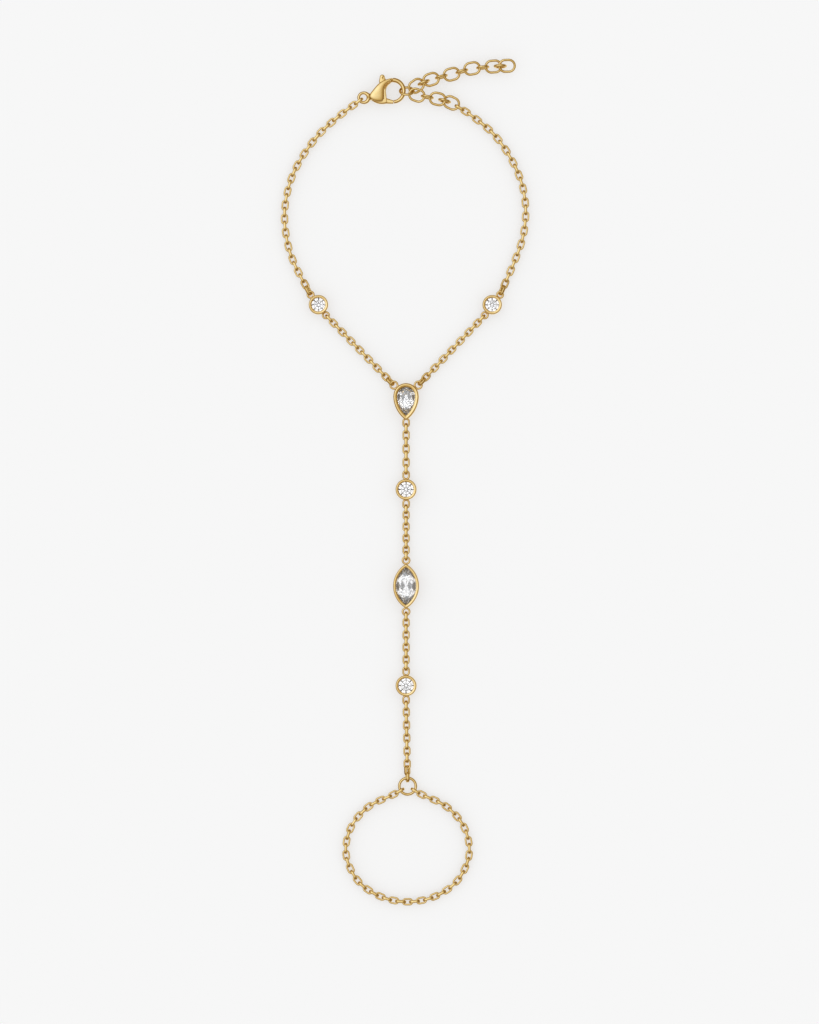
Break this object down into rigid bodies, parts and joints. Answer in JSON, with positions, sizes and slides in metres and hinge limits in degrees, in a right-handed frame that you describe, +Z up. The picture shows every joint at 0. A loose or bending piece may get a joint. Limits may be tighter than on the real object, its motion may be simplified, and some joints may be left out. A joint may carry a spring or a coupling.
{
  "type": "hand chain bracelet",
  "caption": "Fine gold-coloured chain bracelet with a lobster clasp and extender, and a strand of set stones that ends in a chain finger loop.",
  "frame": {"origin": "on the surface that the bracelet lies on, below the centre of the pear setting's round end", "axes": "+Z up from the surface, +Y along the hand strand towards the wrist and the clasp, +X to the right seen from above"},
  "size_m": [0.0497, 0.1692, 0.0027],
  "materials": {
    "gold": "polished yellow gold plating",
    "stone": "clear, facetted and polished"
  },
  "bodies": {
    "bracelet": {"clasp_body": "gold", "clasp_pin": "gold", "extender_upper": "gold", "extender_lower": "gold", "wrist_chain_left_upper": "gold", "wrist_chain_left_lower": "gold", "wrist_chain_right_upper": "gold", "wrist_chain_right_lower": "gold", "wrist_bezel_left": "gold", "wrist_bezel_right": "gold", "pear_setting": "gold", "hand_chain_1": "gold", "hand_bezel_upper": "gold", "hand_chain_2": "gold", "marquise_setting": "gold", "hand_chain_3": "gold", "hand_bezel_lower": "gold", "hand_chain_4": "gold", "junction_ring": "gold", "finger_chain": "gold", "wrist_stone_left": "stone", "wrist_stone_right": "stone", "pear_stone": "stone", "hand_stone_upper": "stone", "marquise_stone": "stone", "hand_stone_lower": "stone"},
    "clasp_lever": {"clasp_lever": "gold"}
  },
  "joints": [
    {"name": "lever_hinge", "type": "hinge", "parent": "bracelet", "child": "clasp_lever", "pos_m": [-0.00467, 0.05915, 0.0013], "axis": [0, 0, 1], "range_deg": [0, 25], "stiffness_Nm_per_rad": 0.005, "springref_deg": -5.73}
  ]
}
